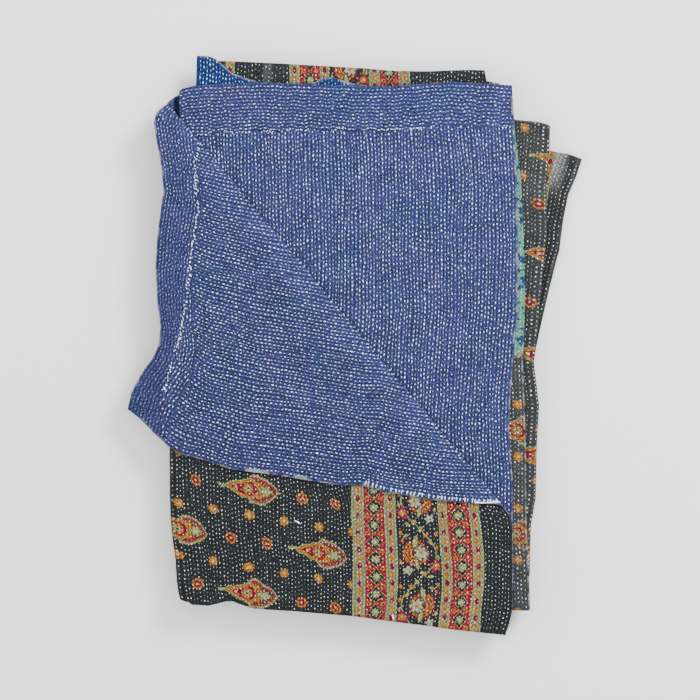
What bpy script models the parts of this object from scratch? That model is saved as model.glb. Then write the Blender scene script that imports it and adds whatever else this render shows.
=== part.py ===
"""A kantha quilt, folded in four both ways, with its top corner turned back.

Two cotton cloths are quilted together: a printed face cloth and a blue backing cloth.
The quilt is first folded back and forth crosswise into four segments, then lengthwise
into four passes, which makes sixteen layers. The corner of the top layer is turned back
along a slanting line, so that its blue side shows.

Lengths are in millimetres until make_object() turns them into metres. X runs across the
folded quilt, Y along it and Z up. The origin is on the floor, under the middle of the
folded quilt. Layers are counted down from the top one, which is layer 0.
"""

import math
from collections import namedtuple

import bmesh
import bpy
import numpy as np

MM = 0.001

# The cloths and how they are folded.
CLOTH = 0.85  # one cloth with its share of the stitching's loft
CLOTH_GAP = 0.3  # between the two cloths
PITCH = 2.8  # from one layer of the folded quilt to the next
FOLDS = 4  # the segments of the crosswise fold, and the passes of the lengthwise one
HALF_SHEET = CLOTH + CLOTH_GAP / 2
LAST_LAYER = FOLDS * FOLDS - 1
TOP_HEIGHT = HALF_SHEET + LAST_LAYER * PITCH  # the middle of the top layer
SPINE_RADIUS = FOLDS * PITCH / 2  # the middle of four layers that turn together
FOLD_RADIUS = PITCH / 2  # one layer that turns

# Where the layers' flat parts end, one row for each layer that differs from its
# neighbours. A low value is at the bottom of the quilt and a high one at its top.
Edges = namedtuple(
    "Edges",
    "layer left_low left_high right_low right_mid right_high"
    " bottom_left bottom_mid bottom_right top_left top_mid top_right",
)
EDGES = [
    Edges(0, -186, -208, 166, 174, 133, -281, -295, -316, 262, 247, 249),
    Edges(1, -186, -193, 174, 171, 177, -281, -295, -316, 278, 285, 284),
    Edges(2, -184, -188, 192, 187, 176, -276, -284, -290, 278, 285, 284),
    Edges(3, -184, -173, 186, 181, 172, -276, -284, -290, 319, 290, 270),
    Edges(4, -184, -172, 182, 191, 204, -276, -284, -291, 314, 305, 240),
    Edges(5, -183, -176, 182, 191, 204, -275, -282, -288, 284, 282, 232),
    Edges(7, -183, -177, 182, 191, 204, -275, -282, -288, 283, 281, 231),
    Edges(8, -183, -178, 182, 191, 204, -275, -282, -288, 282, 280, 231),
    Edges(11, -183, -180, 182, 191, 204, -275, -282, -288, 280, 278, 230),
    Edges(12, -183, -182, 184, 198, 249, -275, -282, -286, 276, 274, 206),
    Edges(13, -183, -182, 183, 196, 244, -275, -282, -286, 272, 270, 202),
    Edges(15, -183, -182, 182, 195, 241, -275, -282, -286, 272, 270, 202),
]

# The edges that are less regular than their row: (share along the edge, place).
LEFT_EDGES = {
    0: [(0, -182.6), (0.015, -184.5), (0.037, -186.2), (0.077, -187.6), (0.117, -191.2),
        (0.157, -193.5), (0.2, -194.6), (0.3, -195.5), (0.36, -194.5), (0.5, -197), (1, -208)],
    1: [(0, -182.4), (0.015, -184.2), (0.037, -185.6), (0.077, -186.6), (0.117, -188.5),
        (0.157, -190), (0.2, -190.6), (0.3, -191), (0.36, -189.5), (0.5, -189.5), (1, -193)],
    2: [(0, -182.2), (0.037, -185), (0.1, -186.5), (0.2, -188.5), (0.3, -189), (0.36, -186.5),
        (0.5, -186), (1, -188)],
    3: [(0, -182), (0.037, -184.5), (0.1, -186), (0.2, -187.5), (0.3, -188), (0.36, -183),
        (0.5, -178.5), (1, -173)],
    4: [(0, -182), (0.037, -184.5), (0.1, -186), (0.2, -187.5), (0.3, -188), (0.36, -183),
        (0.5, -178), (1, -172)],
    5: [(0, -182), (0.037, -184.8), (0.1, -187), (0.2, -190), (0.3, -190.5), (0.36, -184.5),
        (0.5, -179.5), (1, -176)],
    7: [(0, -182), (0.015, -184), (0.037, -185.4), (0.077, -186.5), (0.117, -189.8),
        (0.157, -191.9), (0.2, -192.6), (0.3, -193), (0.36, -186), (0.5, -180.2), (1, -177.3)],
}
BOTTOM_FOLD = [(0, -280.5), (0.01, -283.1), (0.064, -284.2), (0.116, -279.6), (0.136, -279.1),
    (0.162, -282.6), (0.207, -287.6), (0.338, -290.6), (0.514, -295.6), (0.626, -301.1),
    (0.759, -306.6), (0.845, -311.1), (1, -316.6)]
TOP_FOLD = [(0, 278), (0.003, 280.6), (0.043, 284.2), (0.25, 287.6), (0.56, 283.6), (0.638, 283.6),
    (0.816, 288.6), (0.954, 285.6), (1, 284.2)]
BOTTOM_EDGES = {0: BOTTOM_FOLD, 1: BOTTOM_FOLD}
TOP_EDGES = {
    0: [(0, 262), (0.03, 276), (0.11, 273), (0.21, 260), (0.29, 253), (0.44, 251), (0.54, 246),
        (0.65, 237), (0.77, 228), (0.83, 231), (0.91, 244), (1, 249)],
    1: TOP_FOLD,
    2: TOP_FOLD,
    3: [(0, 319), (0.05, 318), (0.12, 306), (0.22, 292), (0.33, 285), (0.40, 289), (0.44, 296),
        (0.50, 290), (0.6, 283), (1, 270)],
    4: [(0, 314), (0.3, 310), (0.5, 305), (0.65, 301), (0.78, 304), (0.84, 291), (0.93, 248),
        (1, 240)],
    12: [(0, 276), (0.7, 262), (0.84, 224), (0.92, 215), (1, 206)],
}
RIGHT_EDGES = {
    0: [(0, 166), (0.02, 170), (0.05, 173), (0.2, 173), (0.25, 163), (0.29, 165), (0.36, 169),
        (0.5, 171), (0.56, 175), (0.72, 177), (0.87, 170), (0.93, 154), (0.97, 143), (1, 133)],
    1: [(0, 166), (0.02, 170.5), (0.045, 173.5), (0.15, 174), (0.28, 173.7), (0.358, 169.6),
        (0.397, 170), (0.4525, 172), (0.544, 176), (0.583, 179), (0.81, 178.5), (1, 173)],
    2: [(0, 193), (0.1, 190.7), (0.16, 189), (0.278, 188.5), (0.387, 187), (0.478, 184.7),
        (0.512, 186), (0.607, 187.4), (0.704, 186), (0.78, 184), (0.82, 183), (0.915, 176),
        (1, 173)],
    12: [(0, 184), (0.5, 192), (0.57, 200), (0.63, 206), (0.76, 221), (0.84, 228), (0.92, 237),
         (1, 249)],
}
HIGH_BULGE = 0.7  # how far the left spines bulge at the top of the quilt, of a half circle

# The line that the top layer's corner is turned back along.
TURN_FROM = (-210.4, 268.5)
TURN_TO = (163.6, -180.3)
DROOP = 0.0045  # how fast the turned corner hangs down past the left spine

# The crown of the folded quilt.
CROWN = 0.025
CROWN_LENGTHS = (620.0, 760.0)
SAG_FROM, SAG_OVER, SAG = 285.0, 40.0, 0.12  # where the long hems hang out at the top

# Where the mesh has its lines, as shares of each pass and each segment.
PASS_SHARES = [
    (0, 0.03, 0.08, 0.15, 0.24, 0.38, 0.44, 0.52, 0.66, 0.79, 0.9, 1),
    (0, 0.35, 0.66, 0.78, 0.84, 0.93, 1),
    (0, 0.45, 0.84, 0.93, 1),
    (0, 0.45, 0.78, 0.88, 1),
]
SEGMENT_SHARES = [
    (0, 0.04, 0.12, 0.2, 0.25, 0.3, 0.36, 0.5, 0.62, 0.74, 0.87, 0.94, 1),
    (0, 0.04, 0.12, 0.2, 0.3, 0.36, 0.5, 0.66, 0.85, 1),
    (0, 0.04, 0.12, 0.2, 0.3, 0.36, 0.6, 0.85, 1),
    (0, 0.04, 0.12, 0.2, 0.3, 0.36, 0.52, 0.64, 0.78, 0.9, 1),
]
SPINE_STEPS = 4
FOLD_STEPS = 3
TURN_STEPS = 3
CUT_REACH = 0.15  # a point this near the turn's lines is taken to be on them


def between(low, mid, high, share):
    """A value that runs from low through mid to high."""
    return float(np.interp(share, (0, 0.5, 1), (low, mid, high)))


def by_layer(layer, value_of_row, irregular, share):
    """An edge's place in any layer: its rows' values, with the irregular edges put in."""
    layers = [row.layer for row in EDGES]
    values = [
        float(np.interp(share, *zip(*irregular[row.layer])))
        if row.layer in irregular
        else value_of_row(row)
        for row in EDGES
    ]
    return float(np.interp(layer, layers, values))


def edges_of(layer, across, up):
    """Where a layer's flat part ends on its left, right, bottom and top."""
    return np.array((
        by_layer(layer, lambda r: r.left_low + up * (r.left_high - r.left_low), LEFT_EDGES, up),
        by_layer(
            layer, lambda r: between(r.right_low, r.right_mid, r.right_high, up), RIGHT_EDGES, up
        ),
        by_layer(
            layer,
            lambda r: between(r.bottom_left, r.bottom_mid, r.bottom_right, across),
            BOTTOM_EDGES,
            across,
        ),
        by_layer(
            layer, lambda r: between(r.top_left, r.top_mid, r.top_right, across), TOP_EDGES, across
        ),
    ))


def leg_point(leg, share, radius):
    """A point of a back-and-forth fold whose turns have this radius, one leg after another.

    Even legs are flat and odd ones are turns. The first leg is the top one, runs towards
    the low end, and has its face side up. Returns the share of the flat part's length from
    the low end, how far a turn stands out past that end, the height over the middle of all
    legs, and the face side's direction, outwards and up.
    """
    number, turning = divmod(leg, 2)
    height = radius * (FOLDS - 1 - 2 * number)
    towards_low = number % 2 == 0
    facing = 1 if towards_low else -1
    if not turning:
        return (1 - share if towards_low else share), 0.0, height, 0.0, facing
    side = -1 if towards_low else 1
    angle = math.pi * share
    out, up = side * math.sin(angle), math.cos(angle)
    at = 0.0 if towards_low else 1.0
    return at, radius * out, height - radius + radius * up, facing * out, facing * up


def layer_in(number, below):
    """The layer that a pass has at some depth, in layers, below its segments' first."""
    return FOLDS * number + (below if number % 2 == 0 else FOLDS - 1 - below)


def quilt_point(column, row, offset):
    """The place of a point of the quilt: its lines' (leg, share), and how far it is from
    the middle of the sheet, towards the face side."""
    up, past_y, over, face_y, face_up = leg_point(*row, FOLD_RADIUS)
    across, past_x, height, face_x, face_z = leg_point(*column, SPINE_RADIUS)
    below = (FOLDS - 1) / 2 - over / PITCH
    number, turning = divmod(column[0], 2)
    edges = edges_of(layer_in(number, below), across, up)
    bulge = 1.0
    if turning:
        edges += column[1] * (edges_of(layer_in(number + 1, below), across, up) - edges)
        bulge += up * (HIGH_BULGE - 1) * (1 - across)
    left, right, low, high = edges
    turned = over + offset * face_up
    x = left + across * (right - left) + bulge * (past_x + turned * face_x)
    y = low + up * (high - low) + past_y + offset * face_y
    return x, y, TOP_HEIGHT - LAST_LAYER * PITCH / 2 + height + turned * face_z


def settled(x, y, z):
    """The folded quilt isn't quite level: it has a low crown, and its long hems sag."""
    crown = 1 + CROWN * math.cos(2 * math.pi * x / CROWN_LENGTHS[0]) * math.cos(
        2 * math.pi * y / CROWN_LENGTHS[1]
    )
    past = min(max((y - SAG_FROM) / SAG_OVER, 0.0), 1.0)
    return x, y, z * crown * (1 - SAG * past * past)


def turn():
    """Where the turn's line starts, and the level direction from it to the corner."""
    start, end = np.array(TURN_FROM), np.array(TURN_TO)
    along = (end - start) / np.linalg.norm(end - start)
    return start, np.array((-along[1], along[0]))


def turned_point(x, y, offset):
    """A point of the top layer, whose corner is turned back over the layer itself."""
    start, away = turn()
    beyond = float((np.array((x, y)) - start) @ away)
    if beyond <= 0:
        return settled(x, y, TOP_HEIGHT + offset)
    angle = min(beyond / FOLD_RADIUS, math.pi)
    radius = FOLD_RADIUS - offset
    back = max(beyond - math.pi * FOLD_RADIUS, 0.0)
    x, y = np.array((x, y)) + (radius * math.sin(angle) - back - beyond) * away
    height = TOP_HEIGHT + FOLD_RADIUS - radius * math.cos(angle)
    first = EDGES[0]
    spine = np.interp(y, (first.bottom_left, first.top_left), (first.left_low, first.left_high))
    x, y, z = settled(x, y, height)
    return x, y, z - DROOP * max(spine - x, 0.0) ** 2


def lines(shares, steps):
    """The lines of a fold, in order, as (leg, share). Flat shares run from the low end."""
    found = []
    for number, flat in enumerate(shares):
        walk = sorted(1 - s for s in flat) if number % 2 == 0 else flat
        found += [(2 * number, s) for s in walk]
        if number < FOLDS - 1:
            found += [(2 * number + 1, k / steps) for k in range(1, steps)]
    return found


def sheet_mesh():
    """The middle of the quilt's sheet as a mesh whose faces have the face cloth's side up.

    The top layer's points lie at their own X and Y, so that it can be cut along the turn.
    Returns the mesh and, for each of its other points, its (column, row).
    """
    columns, rows = lines(PASS_SHARES, SPINE_STEPS), lines(SEGMENT_SHARES, FOLD_STEPS)
    mesh = bmesh.new()
    stations = [None]
    mark = mesh.verts.layers.int.new("station")
    grid = []
    for row in rows:
        grid.append([])
        for column in columns:
            vert = mesh.verts.new(quilt_point(column, row, 0.0))
            if column[0] or row[0]:
                vert[mark] = len(stations)
                stations.append((column, row))
            grid[-1].append(vert)
    top = []
    for r in range(len(rows) - 1):
        for c in range(len(columns) - 1):
            face = mesh.faces.new((grid[r][c], grid[r][c + 1], grid[r + 1][c + 1], grid[r + 1][c]))
            if columns[c + 1][0] == 0 and rows[r + 1][0] == 0:
                top.append(face)
    cut_along_turn(mesh, top)
    bmesh.ops.triangulate(mesh, faces=mesh.faces, quad_method="FIXED")
    return mesh, mark, stations


def cut_along_turn(mesh, faces):
    """Cuts the top layer along the lines on which its corner bends over."""
    start, away = turn()
    for k in range(TURN_STEPS + 1):
        through = start + away * math.pi * FOLD_RADIUS * k / TURN_STEPS
        cut = bmesh.ops.bisect_plane(
            mesh,
            geom=list({part for f in faces for part in (f, *f.edges, *f.verts)}),
            dist=CUT_REACH,
            plane_co=(*through, TOP_HEIGHT),
            plane_no=(*away, 0.0),
        )
        faces = [g for g in cut["geom"] if isinstance(g, bmesh.types.BMFace)]


def make_object(name, inner, outer, colour, roughness):
    """One cloth of the quilt, between two distances from the middle of the sheet."""
    sheet, mark, stations = sheet_mesh()
    solid = bmesh.new()
    sides = []
    for offset in (outer, inner):
        side = {}
        for vert in sheet.verts:
            if vert[mark]:
                place = settled(*quilt_point(*stations[vert[mark]], offset))
            else:
                place = turned_point(vert.co.x, vert.co.y, offset)
            side[vert] = solid.verts.new([MM * value for value in place])
        sides.append(side)
    outside, inside = sides
    for face in sheet.faces:
        solid.faces.new([outside[v] for v in face.verts])
        solid.faces.new([inside[v] for v in reversed(face.verts)])
    for edge in sheet.edges:
        if edge.is_boundary:
            loop = edge.link_loops[0]
            start, end = loop.vert, loop.link_loop_next.vert
            solid.faces.new((outside[end], outside[start], inside[start], inside[end]))
    bmesh.ops.recalc_face_normals(solid, faces=solid.faces)
    mesh = bpy.data.meshes.new(name)
    solid.to_mesh(mesh)
    solid.free()
    sheet.free()
    cloth = bpy.data.objects.new(name, mesh)
    bpy.context.scene.collection.objects.link(cloth)
    material = bpy.data.materials.new(name)
    material.use_nodes = True
    shader = material.node_tree.nodes["Principled BSDF"]
    shader.inputs["Base Color"].default_value = colour
    shader.inputs["Roughness"].default_value = roughness
    shader.inputs["Metallic"].default_value = 0.0
    mesh.materials.append(material)
    mesh.shade_smooth()
    mesh.set_sharp_from_angle(angle=math.radians(40))
    return cloth


for old in list(bpy.data.objects):
    bpy.data.objects.remove(old)

make_object("face_cloth", CLOTH_GAP / 2, HALF_SHEET, (0.028, 0.032, 0.034, 1.0), 0.9)
make_object("backing_cloth", -HALF_SHEET, -CLOTH_GAP / 2, (0.065, 0.09, 0.29, 1.0), 0.9)
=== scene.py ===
"""The looks of the folded kantha quilt: its two cloths, their print and their stitches.

The cloths follow the same folds as the quilt's solids: the folding functions are the ones of
the part's source, and the tables of edges are its tables with more of their small waves.
Lengths are in millimetres until a mesh is made. X runs across the folded quilt, Y along it and
Z up. Layers are counted down from the top one, which is layer 0. Passes and segments are
counted from 0 too.
"""

import math

import bmesh
import bpy
import numpy as np
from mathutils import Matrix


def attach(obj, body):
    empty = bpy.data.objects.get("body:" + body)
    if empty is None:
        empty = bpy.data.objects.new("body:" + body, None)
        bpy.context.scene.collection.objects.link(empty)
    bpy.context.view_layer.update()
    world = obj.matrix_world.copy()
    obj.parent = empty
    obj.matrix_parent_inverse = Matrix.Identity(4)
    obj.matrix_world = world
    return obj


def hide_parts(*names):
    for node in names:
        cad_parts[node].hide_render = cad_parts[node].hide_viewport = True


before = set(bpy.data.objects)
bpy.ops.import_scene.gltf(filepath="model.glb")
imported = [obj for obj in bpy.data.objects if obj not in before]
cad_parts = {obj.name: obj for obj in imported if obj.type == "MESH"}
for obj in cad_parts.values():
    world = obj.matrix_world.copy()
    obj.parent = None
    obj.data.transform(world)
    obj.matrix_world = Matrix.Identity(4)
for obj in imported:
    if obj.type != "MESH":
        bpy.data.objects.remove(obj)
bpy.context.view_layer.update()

MM = 0.001
RNG = np.random.default_rng(7)

# ---------------------------------------------------------------- the folded quilt

CLOTH = 0.85  # one cloth with its share of the stitching's loft
CLOTH_GAP = 0.3  # between the two cloths
PITCH = 2.8  # from one layer of the folded quilt to the next
FOLDS = 4  # the segments of the crosswise fold, and the passes of the lengthwise one
HALF_SHEET = CLOTH + CLOTH_GAP / 2
LAST_LAYER = FOLDS * FOLDS - 1
TOP_HEIGHT = HALF_SHEET + LAST_LAYER * PITCH  # the middle of the top layer
SPINE_RADIUS = FOLDS * PITCH / 2
FOLD_RADIUS = PITCH / 2
PANEL = (377.0, 572.0)  # one panel of the folded quilt, across and along

# Where a layer's flat part ends: its left edge from low to high, its right one from low through
# the middle to high, and its bottom and top ones from left through the middle to right.
EDGES = {
    0: ((-186, -208), (166, 174, 133), (-281, -295, -316), (262, 247, 249)),
    1: ((-186, -193), (174, 171, 177), (-281, -295, -316), (278, 285, 284)),
    2: ((-184, -188), (192, 187, 176), (-276, -284, -290), (278, 285, 284)),
    3: ((-184, -173), (186, 181, 172), (-276, -284, -290), (319, 290, 270)),
    4: ((-184, -172), (182, 191, 204), (-276, -284, -291), (314, 305, 240)),
    5: ((-183, -176), (182, 191, 204), (-275, -282, -288), (284, 282, 232)),
    7: ((-183, -177), (182, 191, 204), (-275, -282, -288), (283, 281, 231)),
    8: ((-183, -178), (182, 191, 204), (-275, -282, -288), (282, 280, 231)),
    11: ((-183, -180), (182, 191, 204), (-275, -282, -288), (280, 278, 230)),
    12: ((-183, -182), (184, 198, 249), (-275, -282, -286), (276, 274, 206)),
    13: ((-183, -182), (183, 196, 244), (-275, -282, -286), (272, 270, 202)),
    15: ((-183, -182), (182, 195, 241), (-275, -282, -286), (272, 270, 202)),
}
LAYERS = np.array(list(EDGES), float)


def edge(shares, *places):
    """An edge that is less regular than in EDGES, as pairs of a share along it and a place."""
    return list(zip(shares, places))


HEM = (0, 0.037, 0.1, 0.2, 0.3, 0.36, 0.5, 1)
LONG_HEM = (0, 0.015, 0.037, 0.077, 0.117, 0.157, 0.2, 0.3, 0.36, 0.5, 1)
LEFT_EDGES = {
    0: edge(LONG_HEM, -182.6, -184.5, -186.2, -187.6, -191.2, -193.5, -194.6, -195.5, -194.5, -197, -208),
    1: edge(LONG_HEM, -182.4, -184.2, -185.6, -186.6, -188.5, -190, -190.6, -191, -189.5, -189.5, -193),
    2: edge(HEM, -182.2, -185, -186.5, -188.5, -189, -186.5, -186, -188),
    3: edge(HEM, -182, -184.5, -186, -187.5, -188, -183, -178.5, -173),
    4: edge(HEM, -182, -184.5, -186, -187.5, -188, -183, -178, -172),
    5: edge(HEM, -182, -184.8, -187, -190, -190.5, -184.5, -179.5, -176),
    7: edge(LONG_HEM, -182, -184, -185.4, -186.5, -189.8, -191.9, -192.6, -193, -186, -180.2, -177.3),
}
RIGHT_SPINE = edge(
    (0, 0.0885, 0.171, 0.228, 0.34, 0.42, 0.5075, 0.568, 0.695, 0.777, 0.87, 0.953, 1),
    181.2, 183.2, 184.2, 189.6, 190.9, 193.2, 187.6, 190.9, 197.2, 201.9, 200.8, 204.7, 205.2,
)
LAST_SPINE = (0, 0.5, 0.57, 0.63, 0.76, 0.84, 0.92, 1)
RIGHT_EDGES = {
    0: edge(
        (0, 0.02, 0.05, 0.2, 0.225, 0.24, 0.25, 0.262, 0.29, 0.34, 0.39, 0.48, 0.53, 0.565, 0.63,
         0.7, 0.74, 0.785, 0.83, 0.86, 0.88, 0.905, 0.94, 0.965, 1),
        166, 170, 173, 173, 171, 166, 163, 162, 165, 168.5, 170.5, 171, 168.5, 173, 174,
        174.5, 176, 177, 173, 171.5, 171, 166, 154, 143, 133,
    ),
    1: edge(
        (0, 0.02, 0.045, 0.15, 0.28, 0.358, 0.397, 0.4525, 0.544, 0.583, 0.81, 1),
        166, 170.5, 173.5, 174, 173.7, 169.6, 170, 172, 176, 179, 178.5, 173,
    ),
    2: edge(
        (0, 0.1, 0.16, 0.278, 0.387, 0.478, 0.512, 0.607, 0.704, 0.78, 0.82, 0.915, 1),
        193, 190.7, 189, 188.5, 187, 184.7, 186, 187.4, 186, 184, 183, 176, 173,
    ),
    **dict.fromkeys((4, 5, 7, 8, 11), RIGHT_SPINE),
    12: edge(
        (0, 0.5, 0.57, 0.63, 0.76, 0.80, 0.84, 0.92, 0.965, 1),
        184, 192, 200, 206, 221, 227, 228, 236, 245.5, 251,
    ),
    13: edge(LAST_SPINE, 181.5, 189, 197, 203, 217, 224, 232, 244),
    15: edge(LAST_SPINE, 181, 187.5, 195.5, 201.5, 215, 222, 230, 241),
}
BOTTOM_FOLD = edge(
    (0, 0.01, 0.064, 0.116, 0.136, 0.162, 0.207, 0.338, 0.514, 0.626, 0.759, 0.845, 1),
    -280.5, -283.1, -284.2, -279.6, -279.1, -282.6, -287.6, -290.6, -295.6, -301.1, -306.6, -311.1, -316.6,
)
BOTTOM_EDGES = dict.fromkeys((0, 1), BOTTOM_FOLD)
TOP_FOLD = edge(
    (0, 0.003, 0.043, 0.25, 0.56, 0.638, 0.816, 0.954, 1),
    278, 280.6, 284.2, 287.6, 283.6, 283.6, 288.6, 285.6, 284.2,
)
LAST_TOP = (0, 0.5, 0.8, 0.9, 1)
TOP_EDGES = {
    0: edge(
        (0, 0.02, 0.04, 0.075, 0.11, 0.15, 0.21, 0.285, 0.36, 0.44, 0.54, 0.65, 0.72, 0.78, 0.825,
         0.865, 0.91, 0.95, 1),
        262, 270, 276, 277, 273, 268, 260, 253, 252, 250.5, 246, 237, 229, 227.7, 231.5,
        238.7, 244.4, 248.3, 249,
    ),
    **dict.fromkeys((1, 2), TOP_FOLD),
    3: edge(
        (0, 0.03, 0.055, 0.085, 0.11, 0.155, 0.2, 0.3, 0.37, 0.40, 0.43, 0.46, 0.50, 0.6, 1),
        319, 319, 316, 307.5, 300, 294, 290, 285, 289, 295, 295.5, 292, 288, 283, 270,
    ),
    4: edge(
        (0, 0.1, 0.27, 0.42, 0.5, 0.57, 0.65, 0.77, 0.836, 0.842, 0.88, 0.9, 0.925, 0.97, 1),
        314, 313, 310, 306.5, 305, 302.3, 301, 304, 303, 291, 288.5, 262, 248.5, 247, 245.5,
    ),
    5: edge(LAST_TOP, 284, 282, 270, 246, 242),
    7: edge(LAST_TOP, 283, 281, 268, 244, 240.5),
    8: edge(LAST_TOP, 282, 280, 267, 243, 240),
    11: edge(LAST_TOP, 280, 278, 264, 241, 238),
    12: edge((0, 0.7, 0.84, 0.92, 0.97, 1), 276, 262, 224, 215, 211, 206),
}
IRREGULAR = (LEFT_EDGES, RIGHT_EDGES, BOTTOM_EDGES, TOP_EDGES)
HIGH_BULGE = 0.7  # how far the left spines bulge at the top of the quilt, of a half circle

TURN_FROM = np.array((-210.4, 268.5))  # the line that the corner is turned back along
TURN_TO = np.array((163.6, -180.3))
TURN_ALONG = (TURN_TO - TURN_FROM) / np.linalg.norm(TURN_TO - TURN_FROM)
TURN_AWAY = np.array((-TURN_ALONG[1], TURN_ALONG[0]))
TURN_LENGTH = np.linalg.norm(TURN_TO - TURN_FROM)
DROOP = 0.0045  # of the turned corner, past the spine under it
# The turned corner's roll beside the line: its height, where it is highest, how wide it is,
# and how far from the line's ends it has its full height.
ROLL, ROLL_PLACE, ROLL_WIDTH, ROLL_ENDS = 4.2, 24.0, 15.0, 90.0
CROWN = 0.025
CROWN_LENGTHS = (620.0, 760.0)
SAG_FROM, SAG_OVER, SAG = 285.0, 40.0, 0.12  # where the long hems sag, and by what share
DENT, DENT_CELL = 1.6, (70, 90)  # the soft dents' height and size


def edges_of(layer, across, up):
    """Where a layer's flat part ends on its left, right, bottom and top."""
    low = np.clip(np.searchsorted(LAYERS, layer, side="right") - 1, 0, len(EDGES) - 2)
    part = (layer - LAYERS[low]) / (LAYERS[low + 1] - LAYERS[low])
    pick = np.arange(len(layer))
    found = []
    for side, share in enumerate((up, up, across, across)):
        values = []
        for number, row in EDGES.items():
            regular = zip(np.linspace(0, 1, len(row[side])), row[side])
            values.append(np.interp(share, *zip(*IRREGULAR[side].get(number, regular))))
        values = np.array(values)
        found.append(values[low, pick] * (1 - part) + values[low + 1, pick] * part)
    return np.array(found)


def leg_points(leg, share, radius):
    """Points of a back-and-forth fold, as the part's leg_point() gives them."""
    number, turning = leg // 2, leg % 2 == 1
    height = radius * (FOLDS - 1 - 2 * number)
    towards_low = number % 2 == 0
    facing = np.where(towards_low, 1.0, -1.0)
    side = -facing
    angle = math.pi * share
    out, up = side * np.sin(angle), np.cos(angle)
    at = np.where(turning, np.where(towards_low, 0.0, 1.0), np.where(towards_low, 1 - share, share))
    past = np.where(turning, radius * out, 0.0)
    level = np.where(turning, height - radius + radius * up, height)
    return at, past, level, np.where(turning, facing * out, 0.0), np.where(turning, facing * up, facing)


def layers_in(number, below):
    """The layer that a pass has at some place below its own highest one."""
    return FOLDS * number + np.where(number % 2 == 0, below, FOLDS - 1 - below)


def quilt_points(column_leg, column_share, row_leg, row_share, offset, grow=(0.0, 0.0)):
    """The places of points of the quilt, as an array of X, Y, Z, before it settles."""
    up, past_y, over, face_y, face_up = leg_points(row_leg, row_share, FOLD_RADIUS)
    across, past_x, height, face_x, face_z = leg_points(column_leg, column_share, SPINE_RADIUS)
    below = (FOLDS - 1) / 2 - over / PITCH
    number, turning = column_leg // 2, column_leg % 2 == 1
    edges = edges_of(layers_in(number, below), across, up)
    following = edges_of(layers_in(np.minimum(number + 1, FOLDS - 1), below), across, up)
    edges = edges + np.where(turning, column_share, 0.0) * (following - edges)
    bulge = 1 + np.where(turning, up * (HIGH_BULGE - 1) * (1 - across), 0.0)
    left, right, low, high = edges
    turned = over + offset * face_up
    x = left + across * (right - left) + bulge * (past_x + turned * face_x) + grow[0]
    y = low + up * (high - low) + past_y + offset * face_y + grow[1]
    return np.stack((x, y, TOP_HEIGHT - LAST_LAYER * PITCH / 2 + height + turned * face_z), axis=1)


def settled(points):
    """The folded quilt isn't level: it has a low crown, soft dents, and its long hems sag."""
    x, y, z = points.T
    wave_x, wave_y = (np.cos(2 * np.pi * a / long) for a, long in zip((x, y), CROWN_LENGTHS))
    past = np.clip((y - SAG_FROM) / SAG_OVER, 0.0, 1.0)
    high = np.clip(z / TOP_HEIGHT, 0.0, 1.2) ** 3
    noise = smooth_noise(x / DENT_CELL[0], y / DENT_CELL[1], 3)
    dents = DENT * high * (noise - 0.5 + 0.5 * creases(x, y))
    level = z * (1 + CROWN * wave_x * wave_y) * (1 - SAG * past * past)
    return np.stack((x, y, level + dents), axis=1)


def beyond_turn(xy):
    """How far points are past the line that the corner is turned back along."""
    return (xy - TURN_FROM) @ TURN_AWAY


def turned_points(xy, offset):
    """Points of the top layer, whose corner is turned back over the layer itself."""
    beyond = beyond_turn(xy)
    angle = np.clip(beyond / FOLD_RADIUS, 0.0, math.pi)
    radius = FOLD_RADIUS - offset
    back = np.maximum(beyond - math.pi * FOLD_RADIUS, 0.0)
    shift = np.where(beyond > 0, radius * np.sin(angle) - back - beyond, 0.0)
    moved = xy + shift[:, None] * TURN_AWAY
    height = np.where(beyond > 0, FOLD_RADIUS - radius * np.cos(angle), offset)
    left, _, bottom, top = EDGES[0]
    spine = np.interp(moved[:, 1], (bottom[0], top[0]), left)
    along = (xy - TURN_FROM) @ TURN_ALONG
    ends = np.clip(np.minimum(along, TURN_LENGTH - along) / ROLL_ENDS, 0.0, 1.0)
    roll = ROLL * ends * np.exp(-(((back - ROLL_PLACE) / ROLL_WIDTH) ** 2)) * (beyond > 0)
    flap = settled(np.column_stack((moved, TOP_HEIGHT + height + roll)))
    flap[:, 2] -= np.where(beyond > 0, DROOP * np.maximum(spine - moved[:, 0], 0.0) ** 2, 0.0)
    return flap


# ---------------------------------------------------------------- noise and relief

def hashed(i, j, seed):
    """A number from 0 to 1 for each pair of whole numbers."""
    value = np.sin(i * 127.1 + j * 311.7 + seed * 74.7) * 43758.5453
    return value - np.floor(value)


def smooth_noise(x, y, seed):
    """Value noise from 0 to 1 with a cell of one unit."""
    i, j = np.floor(x), np.floor(y)
    u, v = x - i, y - j
    u, v = u * u * (3 - 2 * u), v * v * (3 - 2 * v)
    low = hashed(i, j, seed) * (1 - u) + hashed(i + 1, j, seed) * u
    high = hashed(i, j + 1, seed) * (1 - u) + hashed(i + 1, j + 1, seed) * u
    return low * (1 - v) + high * v


def creases(x, y):
    """Long soft troughs that the quilt got from being folded and handled."""
    found = np.zeros_like(x)
    for along_x, along_y, place, width, depth in CREASES:
        away = (x * along_y - y * along_x) - place
        found = found - depth * np.exp(-((away / width) ** 2))
    return found


# Each crease: its direction, how far it passes from the middle, its width and depth.
CREASES = [
    (0.08, 0.997, 18.0, 9.0, 0.8),
    (0.64, -0.768, 95.0, 22.0, 0.6),
    (0.995, 0.10, -232.0, 8.0, 0.7),
    (0.97, -0.24, 60.0, 14.0, 0.5),
]

# ---------------------------------------------------------------- the cloths' meshes

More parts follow.
